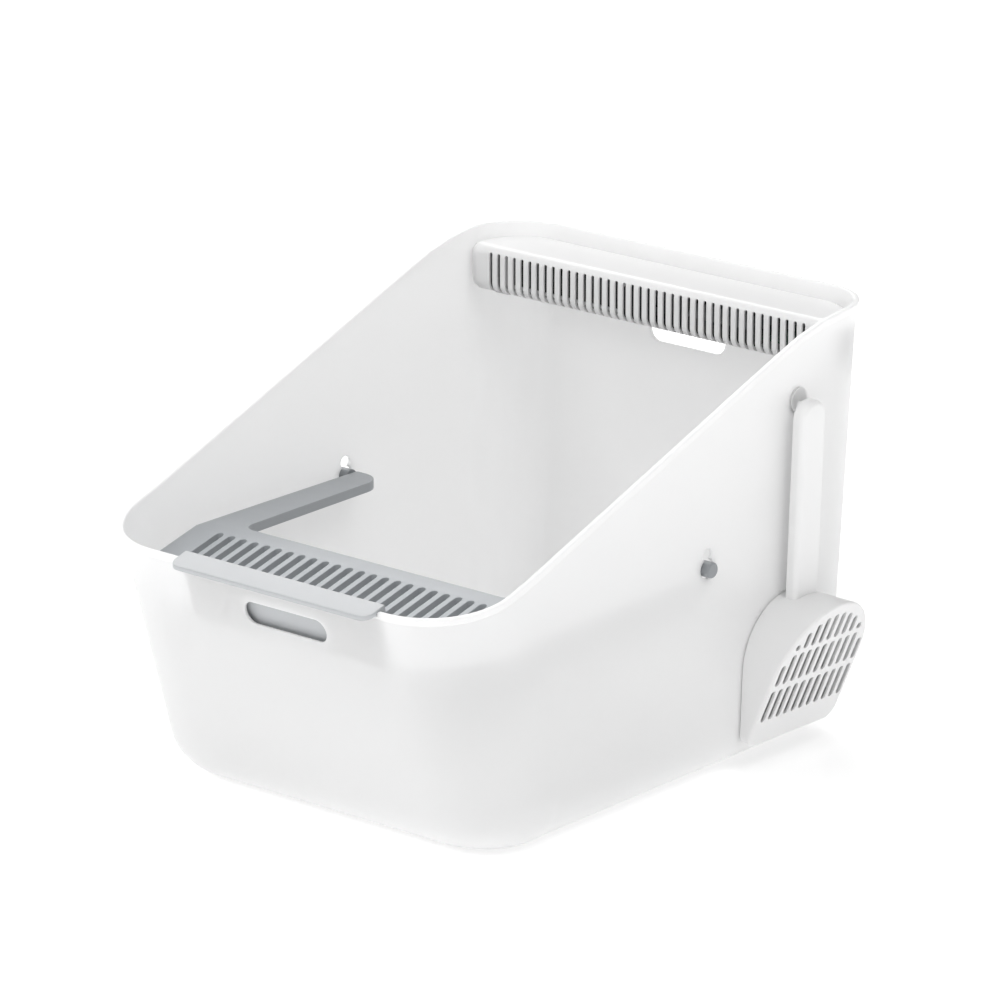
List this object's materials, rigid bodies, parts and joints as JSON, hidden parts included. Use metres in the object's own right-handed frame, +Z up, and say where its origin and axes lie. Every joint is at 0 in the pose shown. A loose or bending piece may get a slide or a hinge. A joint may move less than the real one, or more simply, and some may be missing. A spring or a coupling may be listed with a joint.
{
  "type": "open litter box with purifier",
  "caption": "Open-top litter box with a rising rim, flip-up grid step, slotted purifier unit at the rear and a scoop hung on the side",
  "frame": {"origin": "centre of the tub's flat underside, on the floor", "axes": "X to the right seen from the front, Y from the low entry at the front to the high rear wall, Z up"},
  "size_m": [0.4291, 0.5258, 0.353],
  "materials": {
    "white_plastic": "fine satin moulded plastic",
    "grey_plastic": "fine satin moulded plastic",
    "pale_plastic": "smooth moulded plastic",
    "scoop_plastic": "smooth moulded plastic",
    "dark_plastic": "matt black plastic",
    "screw_steel": "zinc plated",
    "motor_metal": "pressed metal can",
    "carbon": "activated carbon foam",
    "gel": "translucent gel case",
    "cell_wrap": "shrink wrap",
    "board": "solder mask",
    "lens": "milky lens"
  },
  "bodies": {
    "tub": {"tub_shell": "white_plastic", "left_shelf": "white_plastic", "right_shelf": "white_plastic", "scoop_peg": "white_plastic"},
    "step": {"step_tread": "grey_plastic", "rim_hook": "grey_plastic", "left_pin": "grey_plastic", "right_pin": "grey_plastic", "hook_screws": "screw_steel", "pin_screws": "screw_steel"},
    "purifier": {"purifier_cover": "pale_plastic", "purifier_base": "pale_plastic", "base_screws": "screw_steel", "fan_scroll": "dark_plastic", "fan_lid": "dark_plastic", "fan_motor": "motor_metal", "filter_frame": "pale_plastic", "carbon_filter": "carbon", "deodorant_cartridge": "gel", "battery_tray": "dark_plastic", "battery_cells": "cell_wrap", "circuit_board": "board", "motion_sensor": "lens", "charging_socket": "screw_steel"},
    "fan": {"fan_impeller": "dark_plastic"},
    "button": {"power_button": "pale_plastic"},
    "scoop": {"scoop": "scoop_plastic"}
  },
  "joints": [
    {"name": "step_flip", "type": "hinge", "parent": "tub", "child": "step", "pos_m": [0, 0.042, 0.181], "axis": [-1, 0, 0], "range_deg": [0, 105]},
    {"name": "purifier_lift", "type": "slide", "parent": "tub", "child": "purifier", "axis": [0, 0, 1], "range_m": [0, 0.12]},
    {"name": "fan_spin", "type": "hinge", "parent": "purifier", "child": "fan", "pos_m": [0, 0.222, 0.32], "axis": [0, 0, 1], "continuous": true},
    {"name": "button_press", "type": "slide", "parent": "purifier", "child": "button", "axis": [0, 0, 1], "range_m": [0, 0.0012], "stiffness_N_per_m": 400},
    {"name": "scoop_off", "type": "slide", "parent": "tub", "child": "scoop", "axis": [1, 0, 0], "range_m": [0, 0.08]}
  ]
}
